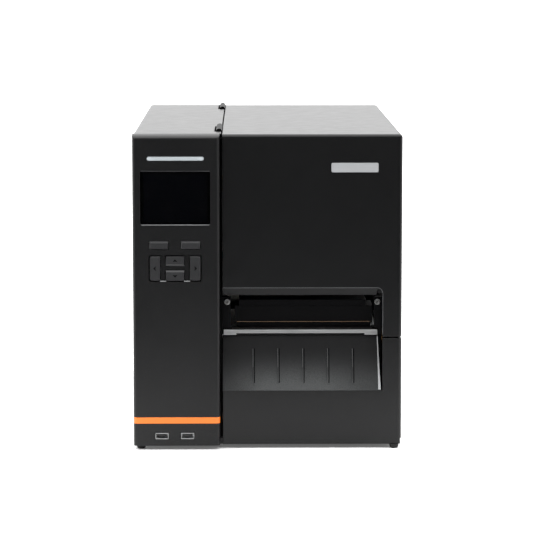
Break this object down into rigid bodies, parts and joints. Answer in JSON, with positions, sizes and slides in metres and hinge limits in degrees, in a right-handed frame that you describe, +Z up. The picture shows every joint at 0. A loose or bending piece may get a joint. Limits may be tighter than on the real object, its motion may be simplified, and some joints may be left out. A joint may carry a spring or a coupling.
{
  "type": "label printer",
  "caption": "Benchtop thermal-transfer label printer: display tower, swing-up media cover, print head and platen, tear bar, chute, ribbon and label spindles.",
  "frame": {"origin": "centre of the footprint, on the surface that the feet stand on", "axes": "+X to the right, +Y to the back (the front with the display faces -Y), +Z up"},
  "size_m": [0.276, 0.502, 0.3283],
  "materials": {
    "black_sheet": "sheet metal, fine-textured satin black powder coat",
    "black_plastic": "satin black moulded plastic",
    "grained_plastic": "black plastic with a fine moulded grain",
    "gloss_black_plastic": "glossy black plastic",
    "orange_plastic": "plain orange inlay",
    "light_guide": "milky light guide",
    "display_glass": "dark cover glass over an unlit screen",
    "circuit_board": "green solder mask",
    "bright_steel": "bright brushed steel",
    "dark_metal": "black-finished metal",
    "cast_alloy": "die-cast alloy, lightly blasted",
    "bronze": "sintered bronze",
    "black_rubber": "soft black rubber",
    "gear_plastic": "off-white engineering plastic",
    "touch_plastic": "teal plastic that marks what the user moves",
    "smoked_window": "lightly smoked clear plastic",
    "plain_plate": "plain satin plate with nothing on it"
  },
  "bodies": {
    "chassis": {"base_pan": "black_sheet", "rubber_feet": "black_rubber", "centre_frame": "dark_metal", "tower_cover": "black_sheet", "front_bezel": "black_plastic", "accent_stripe": "orange_plastic", "indicator_bar": "light_guide", "display_module": "display_glass", "control_board": "circuit_board", "usb_host_ports": "bright_steel", "lower_front_panel": "black_sheet", "exit_chute": "grained_plastic", "tear_bar": "bright_steel", "rear_panel": "black_sheet", "power_inlet": "gloss_black_plastic", "rear_ports": "bright_steel", "main_board": "circuit_board", "power_supply": "bright_steel", "print_motor": "dark_metal", "ribbon_motor": "dark_metal", "mechanism_base": "dark_metal", "head_bridge": "cast_alloy", "shaft_bushes": "bronze", "media_path_plate": "bright_steel", "ribbon_guide_bars": "bright_steel", "label_spindle": "grained_plastic", "fixed_hinge_leaves": "dark_metal", "hinge_pins": "dark_metal", "screws": "bright_steel"},
    "cover": {"media_cover": "black_sheet", "cover_window": "smoked_window", "cover_grip": "black_plastic", "nameplate": "plain_plate", "moving_hinge_leaves": "dark_metal"},
    "head": {"head_carrier": "dark_metal", "thermal_head": "dark_metal", "head_springs": "bright_steel"},
    "knob_left": {"pressure_knob_left": "touch_plastic"},
    "knob_right": {"pressure_knob_right": "touch_plastic"},
    "lever": {"head_lever": "touch_plastic"},
    "platen": {"platen_roller": "black_rubber", "platen_shaft": "bright_steel", "platen_gear": "gear_plastic"},
    "print_pinion": {"motor_pinion": "bronze"},
    "rewind": {"rewind_spindle": "grained_plastic", "rewind_gear": "gear_plastic"},
    "rewind_pinion": {"ribbon_pinion": "bronze"},
    "supply": {"supply_spindle": "grained_plastic"},
    "sensor": {"label_sensor": "black_plastic"},
    "guard": {"roll_guard": "touch_plastic"},
    "damper": {"damper_arm": "dark_metal"},
    "damper_roll": {"damper_roller": "gear_plastic"},
    "guide": {"media_guide": "touch_plastic"},
    "rocker": {"power_switch": "gloss_black_plastic"},
    "soft_left": {"soft_key_left": "black_plastic"},
    "soft_right": {"soft_key_right": "black_plastic"},
    "pad_up": {"up_key": "black_plastic"},
    "pad_down": {"down_key": "black_plastic"},
    "pad_left": {"left_key": "black_plastic"},
    "pad_right": {"right_key": "black_plastic"}
  },
  "joints": [
    {"name": "cover_swing", "type": "hinge", "parent": "chassis", "child": "cover", "pos_m": [-0.0499, 0, 0.325], "axis": [0, -1, 0], "range_deg": [0, 135]},
    {"name": "lever_turn", "type": "hinge", "parent": "chassis", "child": "lever", "pos_m": [0, -0.15, 0.19], "axis": [-1, 0, 0], "range_deg": [0, 75]},
    {"name": "head_lift", "type": "hinge", "parent": "chassis", "child": "head", "pos_m": [0, -0.15, 0.166], "axis": [-1, 0, 0], "range_deg": [0, 12]},
    {"name": "knob_left_turn", "type": "hinge", "parent": "head", "child": "knob_left", "pos_m": [0.005, -0.186, 0.166], "axis": [0, 0, 1], "range_deg": [0, 270]},
    {"name": "knob_right_turn", "type": "hinge", "parent": "head", "child": "knob_right", "pos_m": [0.067, -0.186, 0.166], "axis": [0, 0, 1], "range_deg": [0, 270]},
    {"name": "platen_spin", "type": "hinge", "parent": "chassis", "child": "platen", "pos_m": [0, -0.216, 0.1148], "axis": [1, 0, 0], "continuous": true},
    {"name": "print_pinion_spin", "type": "hinge", "parent": "chassis", "child": "print_pinion", "pos_m": [-0.06, -0.188, 0.1148], "axis": [1, 0, 0], "continuous": true},
    {"name": "rewind_spin", "type": "hinge", "parent": "chassis", "child": "rewind", "pos_m": [0, -0.105, 0.262], "axis": [1, 0, 0], "continuous": true},
    {"name": "rewind_pinion_spin", "type": "hinge", "parent": "chassis", "child": "rewind_pinion", "pos_m": [-0.06, -0.073, 0.262], "axis": [1, 0, 0], "continuous": true},
    {"name": "supply_spin", "type": "hinge", "parent": "chassis", "child": "supply", "pos_m": [0, 0.015, 0.262], "axis": [1, 0, 0], "continuous": true},
    {"name": "sensor_slide", "type": "slide", "parent": "chassis", "child": "sensor", "axis": [1, 0, 0], "range_m": [-0.025, 0.025]},
    {"name": "guard_slide", "type": "slide", "parent": "chassis", "child": "guard", "axis": [1, 0, 0], "range_m": [-0.09, 0]},
    {"name": "damper_swing", "type": "hinge", "parent": "chassis", "child": "damper", "pos_m": [0, -0.055, 0.1], "axis": [-1, 0, 0], "range_deg": [0, 25], "stiffness_Nm_per_rad": 0.2, "springref_deg": -28.65},
    {"name": "damper_roll_spin", "type": "hinge", "parent": "damper", "child": "damper_roll", "pos_m": [0, -0.039, 0.13], "axis": [1, 0, 0], "continuous": true},
    {"name": "guide_slide", "type": "slide", "parent": "chassis", "child": "guide", "axis": [1, 0, 0], "range_m": [-0.08, 0]},
    {"name": "rocker_tilt", "type": "hinge", "parent": "chassis", "child": "rocker", "pos_m": [-0.0865, 0.243, 0.066], "axis": [1, 0, 0], "range_deg": [0, 16]},
    {"name": "soft_left_press", "type": "slide", "parent": "chassis", "child": "soft_left", "axis": [0, 1, 0], "range_m": [0, 0.001], "stiffness_N_per_m": 500, "springref_m": -0.001},
    {"name": "soft_right_press", "type": "slide", "parent": "chassis", "child": "soft_right", "axis": [0, 1, 0], "range_m": [0, 0.001], "stiffness_N_per_m": 500, "springref_m": -0.001},
    {"name": "pad_up_press", "type": "slide", "parent": "chassis", "child": "pad_up", "axis": [0, 1, 0], "range_m": [0, 0.001], "stiffness_N_per_m": 500, "springref_m": -0.001},
    {"name": "pad_down_press", "type": "slide", "parent": "chassis", "child": "pad_down", "axis": [0, 1, 0], "range_m": [0, 0.001], "stiffness_N_per_m": 500, "springref_m": -0.001},
    {"name": "pad_left_press", "type": "slide", "parent": "chassis", "child": "pad_left", "axis": [0, 1, 0], "range_m": [0, 0.001], "stiffness_N_per_m": 500, "springref_m": -0.001},
    {"name": "pad_right_press", "type": "slide", "parent": "chassis", "child": "pad_right", "axis": [0, 1, 0], "range_m": [0, 0.001], "stiffness_N_per_m": 500, "springref_m": -0.001}
  ],
  "couplings": [
    {"joint": "head_lift", "follows": "lever_turn", "ratio": 0.16},
    {"joint": "print_pinion_spin", "follows": "platen_spin", "ratio": -2.5},
    {"joint": "rewind_pinion_spin", "follows": "rewind_spin", "ratio": -3}
  ]
}
